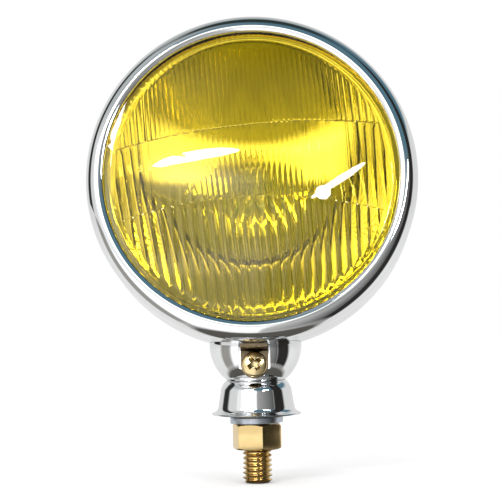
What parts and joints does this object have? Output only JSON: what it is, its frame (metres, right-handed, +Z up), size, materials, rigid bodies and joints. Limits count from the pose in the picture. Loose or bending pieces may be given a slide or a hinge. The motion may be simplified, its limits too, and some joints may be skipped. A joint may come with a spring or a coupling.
{
  "type": "fog light",
  "caption": "Round swivelling fog light: chromed bowl and rim, yellow fluted glass, half-ball foot on a cup pedestal with a threaded mounting stud, lock washer and nut.",
  "frame": {"origin": "centre of the underside of the pedestal, on the stud axis", "axes": "+Z up along the stud, -Y the way the lamp faces, +X across"},
  "size_m": [0.1066, 0.0769, 0.151],
  "materials": {
    "chrome": "polished chrome plate",
    "yellow_glass": "pressed selective-yellow glass",
    "clear_glass": "clear quartz",
    "reflector_silver": "vacuum-aluminised",
    "black_rubber": "moulded rubber",
    "spring_steel": "drawn spring steel",
    "zinc_steel": "bright zinc plate",
    "bronzed_steel": "dark yellow passivated zinc",
    "brass": "turned brass",
    "brass_plated_steel": "yellow passivated zinc plate",
    "tungsten": "drawn tungsten",
    "lead_sleeve": "extruded insulation",
    "nylon": "moulded nylon"
  },
  "bodies": {
    "mount": {"stud": "brass_plated_steel", "pedestal_cup": "chrome"},
    "swivel": {"saddle_washer": "zinc_steel"},
    "lamp": {"housing_bowl": "chrome", "half_ball_foot": "chrome", "rim": "chrome", "lens": "yellow_glass", "lens_gasket": "black_rubber", "reflector": "reflector_silver", "lens_clips": "spring_steel", "rim_clip": "bronzed_steel", "clip_screw": "brass", "rim_hook": "zinc_steel", "hook_rivets": "zinc_steel", "bulb_seat_ring": "zinc_steel", "seat_rivets": "zinc_steel", "bulb_base": "zinc_steel", "bulb_glass": "clear_glass", "bulb_filament": "tungsten", "bulb_spring": "spring_steel", "bulb_lead": "lead_sleeve", "lead_terminal": "nylon", "inlet_grommet": "black_rubber", "earth_terminal": "brass", "earth_screw": "brass", "earth_lead": "lead_sleeve"},
    "washer": {"lock_washer": "zinc_steel"},
    "nut": {"hex_nut": "brass_plated_steel"}
  },
  "joints": [
    {"name": "swivel_turn", "type": "hinge", "parent": "mount", "child": "swivel", "pos_m": [0, 0, 0.0227], "axis": [0, 0, 1], "continuous": true},
    {"name": "lamp_tilt", "type": "hinge", "parent": "swivel", "child": "lamp", "pos_m": [0, 0, 0.0227], "axis": [-1, 0, 0], "range_deg": [-9, 18]},
    {"name": "washer_slide", "type": "slide", "parent": "mount", "child": "washer", "axis": [0, 0, 1], "range_m": [-0.01016, 0]},
    {"name": "nut_turn", "type": "hinge", "parent": "washer", "child": "nut", "pos_m": [0, 0, 0], "axis": [0, 0, 1], "range_deg": [-2304, 0]}
  ],
  "couplings": [
    {"joint": "washer_slide", "follows": "nut_turn", "m_per_rad": 0.00025266}
  ]
}
